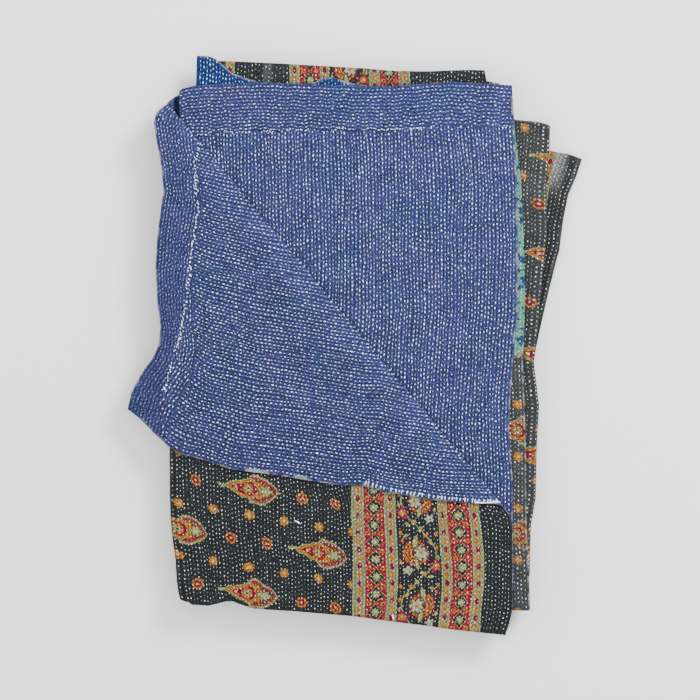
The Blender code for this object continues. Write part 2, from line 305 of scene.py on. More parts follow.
ROWS_ACROSS = 98  # rows of stitches in one pass
ROW = PANEL[0] / ROWS_ACROSS
PERIOD = 4.9  # from one stitch to the next
STEP = 3.6  # of the mesh, where it is seen
OVER_FLOOR = 0.1  # the lowest that a cloth's points lie
SPINE_ARC, FOLD_ARC = math.pi * SPINE_RADIUS, math.pi * FOLD_RADIUS
PASS = PANEL[0] + SPINE_ARC  # from one pass's start to the next one's
SEGMENT = PANEL[1] + FOLD_ARC
WHOLE = (4 * PANEL[0] + 3 * math.pi * SPINE_RADIUS, 4 * PANEL[1] + 3 * math.pi * FOLD_RADIUS)
FIRST_BAND = 46.0  # the blue cloth's bands with level rows: along the first hem
SECOND_BAND = (SEGMENT + 530.7, -0.036)  # and from a slanting seam to the first top fold

# What a point keeps while its mesh is cut: whether it is in the top layer, its u, its v and
# its share of the offset there, and its number in the grid.
OWN = ("own_top", "own_u", "own_v", "own_thin", "station")
# A cloth rounds over to the middle of the sheet at its hems: share of offset, growth.
RIM = [(0.04, 0.5), (0.5, 0.45), (0.88, 0.28)]


def even(start, end, count):
    """Shares in equal steps."""
    return list(np.linspace(start, end, count + 1))


def fold_lines(shares, steps):
    """The lines of one fold as columns of leg, share, share of offset and growth."""
    found = [(0, 0.0, thin, grow) for thin, grow in RIM]
    for number, flat in enumerate(shares):
        flat = sorted(set(np.round(flat, 7)))
        walk = [1 - s for s in reversed(flat)] if number % 2 == 0 else flat
        found += [(2 * number, s, 1.0, 0.0) for s in walk]
        if number < FOLDS - 1:
            found += [(2 * number + 1, k / steps, 1.0, 0.0) for k in range(1, steps)]
    found += [(2 * FOLDS - 2, 1.0, thin, grow) for thin, grow in reversed(RIM)]
    return np.array(found)


def panel_marks(lines, arc):
    """For both ends of each gap between lines: panel, share from its low end, and how far
    past that end along the turn."""
    legs = lines[:, 0].astype(int)
    near, far = legs[:-1], legs[1:]
    leg = np.where(near % 2 == 1, near, np.where(far % 2 == 1, far, near))
    panel = leg // 2
    ends = []
    for own, share in ((near, lines[:-1, 1]), (far, lines[1:, 1])):
        turned = np.where(own == leg, share, np.where(own < leg, 0.0, 1.0))
        at = np.where(leg % 2 == 1, panel % 2, np.where(panel % 2 == 0, 1 - share, share))
        ends.append((at.astype(float), np.where(leg % 2 == 1, arc * turned, 0.0)))
    return panel, ends


def sheet_along(lines, length, arc):
    """How far each line is from the sheet's first hem, measured on the sheet."""
    leg, share = lines[:, 0], lines[:, 1]
    number = leg // 2
    return number * (length + arc) + np.where(leg % 2 == 1, length + arc * share, length * share)


def in_band(u, v):
    """1 where the rows of stitches run across the quilt, and 0 where they run along it."""
    second = (v > SECOND_BAND[0] + SECOND_BAND[1] * u) & (v < SEGMENT + PANEL[1]) & (u < PANEL[0])
    return ((v < FIRST_BAND) & (u < PANEL[0])) | second


def wander(u, v):
    """How far the sewn rows stray, across and along, from straight ones."""
    row = u / ROW
    across = 3.4 * (smooth_noise(row * 0.16, v / 70, 11) - 0.5)
    across = across + 1.9 * (smooth_noise(row * 0.7, v / 24, 12) - 0.5)
    along = 3.0 * (smooth_noise(row * 0.9, v / 50, 13) - 0.5)
    return across, along


def near_hem(u, v):
    """The distance from the nearest free hem."""
    return np.minimum(np.minimum(u, WHOLE[0] - u), np.minimum(v, WHOLE[1] - v))


def puckered(u, v, side, rib=-0.5):
    """How the stitches draw the cloth in: -1 in the rows' valleys to 1 on the crests."""
    level = in_band(u, v) & (side < 0)
    row = np.where(level, v, u) / ROW
    run = np.where(level, u, v)
    uneven = smooth_noise(row * 0.75, run / 7.0, 21 + side)
    puffs = smooth_noise(row * 1.9, run / 5.0, 25 + side)
    return rib * np.cos(2 * np.pi * row) + 0.8 * (uneven - 0.5) + 0.6 * (puffs - 0.5)


def relief(u, v, side):
    """How far the cloth stands out of its even thickness there."""
    amount = 0.3 if side > 0 else 0.42
    hem = np.clip(near_hem(u, v) / 5, 0, 1)
    return (amount * puckered(u, v, side) - 0.12) * hem


def strayed(u_line, v_line, u, v):
    """How far the sewn rows stray there, which is nothing at the folds and hems."""
    dx, dy = wander(u, v)
    still = np.clip(near_hem(u, v) / 12, 0, 1)
    for line in (u_line, v_line):
        still = still * (line[:, 0] % 2 == 0)
        still = still * np.clip(np.minimum(line[:, 1], 1 - line[:, 1]) * 25, 0, 1) ** 0.5
    return dx * still, dy * still


def sheet_point(u_line, v_line, u, v, side, flat=False, lift=0.0):
    """Where points of one cloth's outer side lie, or of the sheet's middle where it is flat.

    Each line has a row of leg, share, share of the offset and growth past a hem.
    """
    dx, dy = strayed(u_line, v_line, u, v)
    grow = (u_line[:, 3] + dx, v_line[:, 3] + dy)
    offset = side * (HALF_SHEET + relief(u, v, side) + lift) * np.minimum(u_line[:, 2], v_line[:, 2])
    args = (u_line[:, 0].astype(int), u_line[:, 1], v_line[:, 0].astype(int), v_line[:, 1])
    return quilt_points(*args, offset * (0 if flat else 1), grow)


def quad_mesh(name, points, quads):
    """A mesh of four-sided faces."""
    mesh = bpy.data.meshes.new(name)
    mesh.vertices.add(len(points))
    mesh.vertices.foreach_set("co", np.asarray(points).ravel())
    mesh.loops.add(quads.size)
    mesh.loops.foreach_set("vertex_index", quads.ravel())
    mesh.polygons.add(len(quads))
    mesh.polygons.foreach_set("loop_start", np.arange(0, quads.size, 4))
    mesh.update(calc_edges=True)
    return mesh


def cloth_mesh(name, side, pass_shares, segment_shares):
    """One cloth, folded with the other, as the mesh of its outer side."""
    columns, rows = fold_lines(pass_shares, 8), fold_lines(segment_shares, 5)
    across, down = len(columns), len(rows)
    u1 = sheet_along(columns, PANEL[0], SPINE_ARC)
    v1 = sheet_along(rows, PANEL[1], FOLD_ARC)
    col, row = np.meshgrid(np.arange(across), np.arange(down))
    col, row = col.ravel(), row.ravel()
    u, v = u1[col], v1[row]
    plan = sheet_point(columns[col], rows[row], u, v, side, flat=True)
    top = (columns[col, 0] == 0) & (rows[row, 0] == 0)

    c, r = np.meshgrid(np.arange(across - 1), np.arange(down - 1))
    c, r = c.ravel(), r.ravel()
    corners = ((r, c), (r, c + 1), (r + 1, c + 1), (r + 1, c))
    quads = np.stack([i * across + j for i, j in corners], axis=1)
    mesh = quad_mesh(name, plan, quads)
    thin = np.minimum(columns[col, 2], rows[row, 2])
    own = (top.astype(float), np.where(top, u, 0.0), np.where(top, v, 0.0), thin)
    for key, value in zip(OWN, (*own, np.arange(across * down))):
        kind = "INT" if key == "station" else "FLOAT"
        mesh.attributes.new(key, kind, "POINT").data.foreach_set("value", value)

    # What the print and the wear need, at each corner of each face.
    pass_of, pass_ends = panel_marks(columns, SPINE_ARC)
    segment_of, segment_ends = panel_marks(rows, FOLD_ARC)
    maps = {"print": [], "border": [], "wear": [], "sewn": []}
    for k, (i, j) in enumerate(corners):
        x_end, y_end = pass_ends[k in (1, 2)], segment_ends[k in (2, 3)]
        at, past = x_end[0][c], x_end[1][c]
        bt, beyond = y_end[0][r], y_end[1][r]
        number, below = pass_of[c], segment_of[r]
        left, right, low, high = edges_of(layers_in(number, below).astype(float), at, bt)
        x = left + at * (right - left) + np.where(at > 0.5, 1, -1) * past
        y = low + bt * (high - low) + np.where(bt > 0.5, 1, -1) * beyond
        uu, vv = u1[j], v1[i]
        for key, value in panel_print(number, below, x, y, side).items():
            maps[key].append(value)
        hem = near_hem(uu, vv)
        maps["wear"][-1] = (maps["wear"][-1], hem)
        maps["sewn"].append((uu, vv))
    for key, per_corner in maps.items():
        data = np.stack([np.stack(pair, axis=1) for pair in per_corner], axis=1)
        mesh.uv_layers.new(name=key).data.foreach_set("uv", data.astype(np.float32).ravel())

    cut_along_turn(mesh)
    settle_mesh(mesh, columns, rows, across, u1, v1, side)
    return mesh


def cut_along_turn(mesh):
    """Cuts the top layer along the lines on which its corner bends over."""
    work = bmesh.new()
    work.from_mesh(mesh)
    mark = work.verts.layers.float["own_top"]
    faces = [f for f in work.faces if all(v[mark] > 0.5 for v in f.verts)]
    for k in range(6):
        through = TURN_FROM + TURN_AWAY * math.pi * FOLD_RADIUS * k / 5
        near = [f for f in faces if abs((np.array(f.calc_center_median().xy) - through) @ TURN_AWAY) < 9]
        cut = bmesh.ops.bisect_plane(
            work,
            geom=list({part for f in near for part in (f, *f.edges, *f.verts)}),
            dist=0.06,
            plane_co=(*through, 0.0),
            plane_no=(*TURN_AWAY, 0.0),
        )
        fresh = [g for g in cut["geom"] if isinstance(g, bmesh.types.BMFace)]
        faces = list({f for f in faces + fresh if f.is_valid})
    bmesh.ops.triangulate(work, faces=[f for f in work.faces if len(f.verts) > 4])
    work.to_mesh(mesh)
    work.free()


def settle_mesh(mesh, columns, rows, across, u1, v1, side):
    """Moves a cloth's points from the plan to their places, and keeps a painted shade for their colour."""
    count = len(mesh.vertices)

    def read(key, kind=np.float32):
        data = np.empty(count, kind)
        mesh.attributes[key].data.foreach_get("value", data)
        return data

    co = np.empty(3 * count)
    mesh.vertices.foreach_get("co", co)
    co = co.reshape(-1, 3)
    top = read("own_top") > 0.5
    station = read("station", np.int32)
    col, row = station % across, station // across
    u, v = u1[col], v1[row]
    u = np.where(top, read("own_u"), u).astype(float)
    v = np.where(top, read("own_v"), v).astype(float)
    places = settled(sheet_point(columns[col], rows[row], u, v, side))
    offset = side * (HALF_SHEET + relief(u, v, side)) * read("own_thin")
    places[top] = turned_points(co[top, :2], offset[top])
    places[:, 2] = np.maximum(places[:, 2], OVER_FLOOR)
    mesh.vertices.foreach_set("co", (MM * places).ravel())
    # Painted shade in the cloth's colour: lighter and darker with the puckers, and on the blue side a
    # painted highlight on the turned corner's roll, a painted shadow just past the turn's edge, and
    # lighter towards the top and right.
    tones = puckered(u, v, side, 0.15)
    if side < 0:
        x, y = places[:, :2].T
        past = beyond_turn(places[:, :2])
        back = beyond_turn(co[:, :2]) - FOLD_ARC / 2
        # Painted highlight on the turned corner, brightest by its edge at the turn.
        tones = tones + np.where(top & (back > 0), 1.1 * np.exp(-np.abs(past) / 17) - 0.2, 0.0)
        # Painted shadow on the cloth under the turned corner, just past its edge.
        tones = tones - np.where(~top & (past > 0), 0.3 * np.exp(-past / 7), 0.0)
        # Painted light: the cloth is lighter towards the top and the right.
        tones = tones + 0.28 * np.clip((y - 40) / 200, -1, 1) + 0.15 * np.clip(x / 180, -1, 1)
    # The painted shade is kept on the points, and the cloths' materials scale their colour by it.
    painted_shade = mesh.attributes.new("painted_shade", "FLOAT", "POINT")
    painted_shade.data.foreach_set("value", tones.astype(np.float32))
    for key in OWN:
        mesh.attributes.remove(mesh.attributes[key])
    if side < 0:
        mesh.flip_normals()
    mesh.shade_smooth()
    mesh.update()


# ---------------------------------------------------------------- where the print is

THIRD_FADE, LAST_FADE = 0.75, 0.25  # by these the cloth tells two panels from the others
# For the panels that show: how the print's field and its border lie on them, as
# (pass, segment): field shift across and along, border's start, its direction, fading.
PRINTS = {
    (0, 0): (0.0, 0.0, -3.2, 1.0, 0.0),
    (0, 2): (-296.6, 50.1, -900.0, -1.0, THIRD_FADE),
    (1, 3): (0.0, 0.0, 61.0, -1.06, 0.0),
    (3, 3): (-90.0, 40.0, 85.8, 1.0, LAST_FADE),
}
FIELD_START = (116.2, 157.9)  # of the field's rows, across and along the print
# How the field lies on the second pass's top panel: Y, the X of its middle there, and how
# far along the print that is.
STRETCHED = [
    (-290, 190, -402.4), (-204, 194, -313.7), (-147, 198.4, -255), (-91, 201.7, -197.2),
    (-36, 200.6, -140.5), (17, 205, -85.9), (47, 211.6, -55), (100.3, 214.5, 0), (131.8, 218.5, 35.1),
    (188, 223.6, 92.3), (210, 226, 119.3), (240, 226, 149.5), (330, 226, 240),
]
BLUE_ZONES = {(0, 3): 1.0, (0, 0): 0.3}  # the bright patch, and the turned corner


def panel_print(number, below, x, y, side):
    """Where the print and its border are at points of the panels, and how faded it is."""
    shift_x, shift_y = np.zeros_like(x), np.zeros_like(x)
    start, way, fade = np.full_like(x, 900.0), np.ones_like(x), np.full_like(x, 0.35)
    for (p, q), row in PRINTS.items():
        here = (number == p) & (below == q)
        shift_x[here], shift_y[here], start[here], way[here], fade[here] = row
    strip = (number == 1) & (below == 3)
    pale = np.interp(x, (150, 175), (0.12, 0.45)) * (1 + 0.9 * np.exp(-(((y - 180) / 32) ** 2)))
    fade = np.where(strip, pale, fade)
    at, middle, along = np.array(STRETCHED).T
    shift_x = np.where(strip, -np.interp(y, at, middle) - FIELD_START[0], shift_x)
    shift_y = np.where(strip, np.interp(y, at, along) - y - FIELD_START[1], shift_y)
    if side < 0:
        fade[:] = 0.0
        for (p, q), zone in BLUE_ZONES.items():
            fade[(number == p) & (below == q)] = zone
    # The border is drawn in where the top panel bulges, and leans on the last one.
    top = (number == 0) & (below == 0)
    drawn = np.where(top, 4.6 * np.exp(-(((y + 252) / 48) ** 2)), 0.0)
    drawn = drawn * np.interp(x, (-60, 0, 130), (0, 0.5, 1))
    last = (number == 3) & (below == 3)
    drawn = drawn - np.where(last, 2.5 + 0.22 * np.maximum(209.5 - y, 0.0), 0.0)
    return {
        "print": (x + shift_x, y + shift_y),
        "border": ((x - drawn - start) * way, y + shift_y),
        "wear": fade,
    }


def key_shares(low, high):
    """Shares that every segment has, so that the spines' layers lie in each other."""
    found = {share for table in (*LEFT_EDGES.values(), RIGHT_SPINE) for share, _ in table}
    return sorted(share for share in found if low <= share <= high)


def steps_of(start, end, step=STEP):
    """Shares of a segment, as far apart as the visible mesh needs."""
    return even(start, end, round((end - start) * PANEL[1] / step))


# The mesh's lines on the bands with level rows, two to a row.
BAND_LINES = {
    0: [1 - k * ROW / 2 / PANEL[1] for k in range(1, 24)],
    1: [
        (k * ROW / 2 - SEGMENT) / PANEL[1]
        for k in range(math.ceil((SEGMENT + 516) / ROW * 2), int((SEGMENT + PANEL[1]) / ROW * 2))
    ],
}


def thinned(shares, least=0.0019):
    """Shares in order, without those that nearly meet their neighbour."""
    found = []
    for share in sorted(set(shares)):
        if found and share - found[-1] < least and share < 1:
            continue
        found.append(share)
    return found


# The shares at which the two meshes have their lines, in each pass and each segment.
TOP_CORNER = [0.836, 0.842, 0.86, 0.88, 0.89, 0.9, 0.925, 0.97, 1]
FACE_PASSES = [
    even(0, 1, 2 * ROWS_ACROSS),
    even(0, 0.8, 10) + even(0.9, 1, 16) + TOP_CORNER,
    even(0, 1, 8),
    even(0, 0.78, 8) + even(0.78, 1, 34),
]
FACE_SEGMENTS = [thinned(shares) for shares in (
    steps_of(0, 0.5) + even(0.5, 1, 20),
    even(0, 1, 18) + key_shares(0, 1),
    even(0, 1, 56) + key_shares(0, 0.5),
    even(0, 0.9, 60) + even(0.9, 1, 14) + key_shares(0, 0.9),
)]
BLUE_PASSES = [even(0, 1, 2 * ROWS_ACROSS), even(0, 0.8, 7) + TOP_CORNER, even(0, 1, 8), even(0, 1, 8)]
BLUE_SEGMENTS = [thinned(shares) for shares in (
    key_shares(0, 0.24) + steps_of(0.24, 0.915, 4.2) + BAND_LINES[0] + [0, 1],
    even(0, 0.1, 4) + steps_of(0.1, 0.902, 4.2) + BAND_LINES[1] + [0, 1],
    even(0, 1, 12) + key_shares(0, 1),
    even(0, 0.88, 10) + key_shares(0, 0.88) + even(0.88, 1, 20),
)]


def add_object(name, data):
    """An object in the scene that holds a mesh, a light or a camera."""
    found = bpy.data.objects.new(name, data)
    bpy.context.scene.collection.objects.link(found)
    return found


def add_piece(name, mesh, material, node=None):
    """A piece of the quilt, which rides on its body and may stand for a node of it."""
    piece = add_object(name, mesh)
    mesh.materials.append(material)
    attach(piece, "root")
    if node:
        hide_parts(node)
    return piece


# ---------------------------------------------------------------- sums for shaders

def fill(tree, node, *inputs):
    """Fills a node's inputs, given by name or number, with values, Sums or nodes' outputs."""
    for name, value in inputs:
        value = value.socket if isinstance(value, Sum) else value
        if isinstance(value, bpy.types.NodeSocket):
            tree.links.new(value, node.inputs[name])
        else:
            node.inputs[name].default_value = value


def node_of(operation):
    """A method of Sum that puts one step of arithmetic into the node tree."""
    return lambda self, *others: self.made(operation, *others)


class Sum:
    """A number in a material's node tree, with the usual sums."""

    __add__ = __radd__ = node_of("ADD")
    __mul__ = __rmul__ = node_of("MULTIPLY")
    __sub__, __truediv__, __abs__ = node_of("SUBTRACT"), node_of("DIVIDE"), node_of("ABSOLUTE")
    lower, higher, to = node_of("MINIMUM"), node_of("MAXIMUM"), node_of("POWER")
    sin, cos, root, rounded = node_of("SINE"), node_of("COSINE"), node_of("SQRT"), node_of("ROUND")
    heading = node_of("ARCTAN2")

    def __init__(self, tree, socket):
        self.tree, self.socket = tree, socket

    def made(self, operation, *others):
        node = self.tree.nodes.new("ShaderNodeMath")
        node.operation = operation
        fill(self.tree, node, *enumerate((self, *others)))
        return Sum(self.tree, node.outputs[0])

    def __rsub__(self, other):
        return (self * -1) + other

    def wrapped(self, period):
        """The remainder from -period / 2 to period / 2."""
        return self.made("WRAP", period / 2, -period / 2)

    def ramp(self, start, end, low=0.0, high=1.0):
        """A number that runs softly from low to high as this one runs from start to end."""
        node = self.tree.nodes.new("ShaderNodeMapRange")
        node.interpolation_type = "SMOOTHSTEP"
        ends = zip(("From Min", "From Max", "To Min", "To Max"), (start, end, low, high))
        fill(self.tree, node, ("Value", self), *ends)
        return Sum(self.tree, node.outputs["Result"])

    def over(self, edge, soft=0.35):
        """1 where the number is over an edge and 0 where it is under, with a soft step."""
        return self.ramp(edge - soft, edge + soft)

    def under(self, edge, soft=0.35):
        """1 where the number is under an edge."""
        return self.ramp(edge - soft, edge + soft, 1.0, 0.0)

    def within(self, low, high, soft=0.35):
        """1 between two edges."""
        return self.over(low, soft) * self.under(high, soft)

    def clamped(self):
        """The number, kept from 0 to 1."""
        return self.higher(0).lower(1)

    def near(self, edge, half, soft):
        """1 within half a width of an edge, on both its sides."""
        return abs(self - edge).under(half, soft)


class Paint:
    """A material's node tree, and the colour that is being laid on in it."""

    def __init__(self, name, light):
        self.material = bpy.data.materials.new(name)
        self.material.use_nodes = True
        self.tree = self.material.node_tree
        self.shader = self.tree.nodes["Principled BSDF"]
        ground = self.node("RGB")
        ground.outputs[0].default_value = (*light, 1.0)
        self.colour = ground.outputs[0]

    def node(self, kind, *inputs):
        node = self.tree.nodes.new("ShaderNode" + kind)
        fill(self.tree, node, *inputs)
        return node

    def uv(self, name):
        """The two numbers of one of the mesh's maps."""
        node = self.node("UVMap")
        node.uv_map = name
        parts = self.node("SeparateXYZ", (0, node.outputs[0])).outputs
        return Sum(self.tree, parts[0]), Sum(self.tree, parts[1])

    def value(self, name):
        """The number that the mesh's points have under this name."""
        node = self.node("Attribute")
        node.attribute_name = name
        return Sum(self.tree, node.outputs["Fac"])

    def noise(self, x, y, size, detail=2.0, seed=0.0, rough=0.5):
        """Noise round 0.5 with features of some size, over two numbers."""
        place = self.node("CombineXYZ", (0, x / size), (1, y / size), (2, seed)).outputs[0]
        kind = ("Scale", 1.0), ("Detail", detail), ("Roughness", rough)
        return Sum(self.tree, self.node("TexNoise", ("Vector", place), *kind).outputs["Fac"])

    def lay(self, colour, mask):
        """Lays a colour on where the mask is 1: one of COLOURS, or one laid before."""
        if isinstance(colour, str):
            colour = (*linear(colour), 1.0)
        node = self.node("Mix")
        node.data_type = "RGBA"
        fill(self.tree, node, ("Factor", mask), (6, self.colour), (7, colour))
        self.colour = node.outputs[2]

    def only(self, where):
        """A way to lay colours on within one mask."""
        return lambda colour, mask: self.lay(colour, mask * where)

    def shade(self, factor):
        """Makes the colour lighter or darker."""
        node = self.node("VectorMath")
        node.operation = "SCALE"
        fill(self.tree, node, (0, self.colour), ("Scale", factor))
        self.colour = node.outputs[0]

    def done(self, roughness, *inputs):
        """Links the colour to the shader and sets its other inputs."""
        fill(self.tree, self.shader, ("Base Color", self.colour), ("Roughness", roughness), *inputs)
        return self.material

    def cloth(self, height, depth, roughness, sheen):
        """Cloth with a bump, whose height is in parts of its depth in mm."""
        bump = self.node("Bump", ("Distance", depth * MM), ("Height", height)).outputs[0]
        soft = ("Sheen Weight", sheen), ("Sheen Roughness", 0.6), ("Specular IOR Level", 0.1)
        return self.done(roughness, ("Normal", bump), *soft)


def linear(name):
    """One of COLOURS, as light."""
    share = np.array(COLOURS[name], float) / 255
    light = np.where(share < 0.04045, share / 12.92, ((share + 0.055) / 1.055) ** 2.4)
    return [float(c) for c in light * DYE]


DYE = 0.43  # the cloths' colours are given as they look in a bright room
# The colours of the two cloths, out of 255.
COLOURS = {
    "charcoal": (44, 49, 52),
    "faded": (99, 102, 102),
    "cream": (188, 192, 114),
    "pale": (208, 210, 176),
    "orange": (224, 138, 10),
    "yellow": (222, 186, 70),
    "crimson": (150, 10, 46),
    "rose": (182, 28, 70),
    "stripe": (168, 163, 136),
    "indigo": (72, 84, 154),
    "violet": (86, 82, 160),
    "ridge": (150, 162, 212),
    "deep": (18, 26, 78),
    "teal": (42, 90, 142),
    "bright": (16, 74, 156),
    "turquoise": (128, 204, 176),
    "worn": (232, 232, 236),
}


def row_phase(row, run):
    """How far a row's stitches are out of step there, in stitches: each row has its own."""
    sine = Sum.sin if isinstance(row, Sum) else np.sin
    return sine(row * 2.13) * 3.7 + sine(row * 4.71 + 0.7) * 5.1 + sine(run / 19 + row * 2.9) * 0.5


def length(x, y):
    """The distance of Sums from where both are 0."""
    return (x * x + y * y).root()


def petals(turn, depth, radius, away):
    """How far inside the edge of a flower points are: the petals follow a turn round it."""
    return turn.cos() * depth + radius - away


def flower(paint, x, y, radius, centre, rim, heart, eye):
    """A round flower with eight petals, and the shares of it that its heart and eye take."""
    away = length(x, y)
    paint.lay(rim, petals(y.heading(x) * 8, radius * 0.11, radius * 0.88, away).over(0))
    paint.lay(centre, away.under(radius * heart))
    paint.lay("pale", away.under(radius * eye))


def paisleys(paint, x, y, where):
    """The field's paisleys, whose tips point to lower x. They are 64 long."""
    lay, only = paint.lay, paint.only(where)
    up = abs(y)
    # The leaf behind: a heart that narrows to a point at x = 31.
    right = ((x - 4) / 27.5).clamped().to(2.2)
    left = ((4 - x) / 7).clamped()
    wide = (1 - right).to(0.8) * 16.2 * (1 - left * left).root()
    scallop = (x * 2.05).sin() * 0.55 + (y * 2.05).sin() * 0.4
    inside = wide - up + scallop - (1 - where) * 50
    lay("cream", inside.over(0.1))
    lay("charcoal", inside.over(2.3, 0.2) * 0.8)
    lay("rose", inside.over(3.0))
    lay("charcoal", inside.over(5.3, 0.4))
    lay("orange", inside.over(6.2, 0.3) * ((x - 17) * 1.9).sin().over(-0.3, 0.3))
    rays = abs((y.heading(x - 5.0) * 4.5).sin())
    lay("orange", inside.over(4.6) * rays.over(0.55, 0.25) * length(x - 5, y).under(9.5))
    away = ((x - 17) * (x - 17) * 0.7 + y * y * 1.3).root()
    petal = petals(y.heading(x - 17) * 6, 1.2, 5.2, away)
    only("charcoal", petal.over(-1.1))
    only("cream", petal.over(0))
    only("pale", away.under(1.6))
    # The drop in front, from its tip at x = -27 to x = 8.
    along = ((x + 28) / 28).clamped().to(0.8)
    back = (x / 8.5).clamped()
    shown = along * 12.0 * (1 - back * back).root() - up - (1 - where) * 50
    lay("cream", shown.over(0.1))
    lay("charcoal", shown.over(1.3, 0.2))
    lay("orange", shown.over(1.9))
    lay("crimson", shown.over(4.1))
    only("pale", length(x + 13, y).under(1.7))
    eye = length(x + 1.5, y)
    bloom = petals(y.heading(x + 1.5) * 6, 0.9, 3.9, eye)
    only("orange", eye.under(5.6) * eye.over(4.6))
    only("cream", bloom.over(0))
    only("charcoal", eye.under(1.1))
    # The bud at the tip.
    bud = ((x + 30) * (x + 30) * 0.35 + y * y).root() + (x * 2.6).sin() * 0.5
    only("cream", bud.under(1.9))


REPEAT = (153.0, 57.2)  # of the field: from one paisley to the next, and between their rows
SLANT = 0.17  # of the paisleys' rows


def field(paint, px, py):
    """The field: paisleys in half-drop rows, red-hearted flowers and small orange ones."""
    x = px + FIELD_START[0]
    y = py + x * SLANT + FIELD_START[1]
    row = (y / REPEAT[1]).rounded()
    ly = y - row * REPEAT[1]
    lx = (x - row * (REPEAT[0] / 2)).wrapped(REPEAT[0])
    flower(paint, abs(lx) - 57.6, ly, 6.6, "crimson", "orange", 0.62, 0.2)
    ox, oy = x.wrapped(REPEAT[0] / 4), (y + REPEAT[1] / 2).wrapped(REPEAT[1])
    flower(paint, ox, oy, 5.6, "orange", "orange", 0.4, 0.3)
    paisleys(paint, lx, ly, abs(lx).under(36, 0.2))


# Across the border: its dotted stripes and its red bands, from start to end, and the middles of
# the bands' diamonds.
STRIPES = [(0.0, 13.5), (35.5, 48.1), (94.4, 105.4), (129.0, 140.8), (205.0, 215.0)]
RED_BANDS = [(13.5, 35.5), (105.4, 129.0)]
DIAMOND_MIDDLES = (24.5, 117.2)
VINE_MIDDLE = 71.25
# Along it: from one diamond to the next, how far the bands are out of step, and from one dot
# to the next.
DIAMONDS, OUT_OF_STEP, DOTS = 19.25, 11.3, 18.7


def border(paint, s, t, ground):
    """The border: dotted stripes, two red bands with diamonds, and a vine between them."""
    paint.lay(ground, s.over(0, 0.2))
    # The red bands, which are alike but for their width.
    first, last = (s.within(*ends, 0.2) for ends in RED_BANDS)
    ribbon = first + last
    only = paint.only(ribbon)
    second = s.over(70, 0.5)
    middle = s - DIAMOND_MIDDLES[0] - second * (DIAMOND_MIDDLES[1] - DIAMOND_MIDDLES[0])
    grain = paint.noise(s, t, 2.2, 1.0, 21.0)
    paint.lay("rose", ribbon)
    only("crimson", grain.ramp(0.42, 0.6, 0.0, 0.8))
    lift = t + 5.0 - second * OUT_OF_STEP
    dt = lift.wrapped(DIAMONDS)
    diamond = abs(middle) * 1.05 + abs(dt) - 8.9
    only("yellow", diamond.under(0.75))
    only("charcoal", diamond.under(0.1))
    away = length(middle, dt)
    only("cream", petals(dt.heading(middle) * 8, 0.8, 3.9, away).over(0))
    only("pale", away.under(1.3))
    ht = (lift + DIAMONDS / 2).wrapped(DIAMONDS)
    spot = length(abs(middle) - 7.2, ht)
    only("orange", (spot + (ht * 2.4).sin() * 0.5).under(2.6))
    only("charcoal", spot.under(1.0, 0.2))
    vine(paint, s - VINE_MIDDLE, t)
    for start, end in STRIPES:
        half = (end - start) / 2
        m = s - (start + half)
        here = abs(m).under(half, 0.25)
        only = paint.only(here)
        paint.lay("cream", here)
        hatch = ((t + m * 0.5) * 2.9).sin()
        paint.lay("charcoal", abs(m).near(half - 1.9, 0.28, 0.25) * 0.7)
        inner = abs(m).under(half - 2.2)
        paint.lay("stripe", inner)
        paint.lay("faded", inner * hatch.over(0.3, 0.4) * 0.6)
        for colour, shift in (("crimson", 0.0), ("orange", DOTS / 2)):
            dy = (t + shift).wrapped(DOTS)
            dot = (m * m * 2.3 + dy * dy).root()
            only("cream", dot.under(4.6))
            only(colour, dot.under(3.7))
    paint.lay("charcoal", s.near(-0.4, 0.5, 0.2) + s.near(141, 0.5, 0.2))


def leaf(lay, x, t, place, way, long, wide, colour):
    """A pointed leaf round a place, turned to a direction."""
    dx, dt = x - place[0], t - place[1]
    along = dx * math.cos(way) + dt * math.sin(way)
    across = dt * math.cos(way) - dx * math.sin(way)
    lay(colour, (abs(across) / wide + (along * along) / (long * long)).under(1, 0.18))


def vine(paint, x, t):
    """A vine of 57.2 half a wave, mirrored from one half wave to the next."""
    cell = (t / REPEAT[1]).rounded()
    x = x * (1 - abs(cell.wrapped(2.0)) * 2)
    t = t - cell * REPEAT[1]
    only = paint.only(abs(x).under(22.6, 0.3))
    wave = (t * (math.pi / REPEAT[1])).cos() * 17.5
    only("cream", abs(x - wave).under(0.75, 0.3))
    for row in VINE_LEAVES:
        leaf(only, x, t, *row)
    # The pomegranate, whose ribs open to one side.
    px = x + 4.0
    away = (px * px + t * t * 0.94).root()
    ribs = t.heading(px) * 15
    only("crimson", petals(ribs, 0.8, 14.2, away).over(0))
    only("orange", (abs(away - 11.6) - ribs.cos() * 0.6).under(0.9))
    only("charcoal", away.near(9.7, 0.4, 0.25))
    only("orange", away.under(9.3))
    only("crimson", away.under(7.8))
    only("yellow", away.near(5.6, 0.7, 0.25))
    bloom_x = px - 5.5
    white = length(bloom_x, t)
    bloom = petals(t.heading(bloom_x) * 7, 1.5, 6.6, white)
    only("charcoal", bloom.over(-1.3))
    only("pale", bloom.over(0))
    only("orange", white.under(2.1))
    for place, way, long, wide in (((-4.5, 12.5), 1.3, 7.5, 2.6), ((-3.0, -12.5), -1.3, 7.0, 2.4)):
        leaf(only, x, t, place, way, long + 1.2, wide + 1.0, "charcoal")
        leaf(only, x, t, place, way, long, wide, "cream")
    for (fx, ft), radius, rim, heart in VINE_FLOWERS:
        qx, qt = x - fx, t - ft
        far = length(qx, qt)
        only(rim, petals(qt.heading(qx) * 5 + fx, radius * 0.26, radius * 0.86, far).over(0))
        only(heart, far.under(radius * 0.5))
        only("pale", far.under(radius * 0.18))


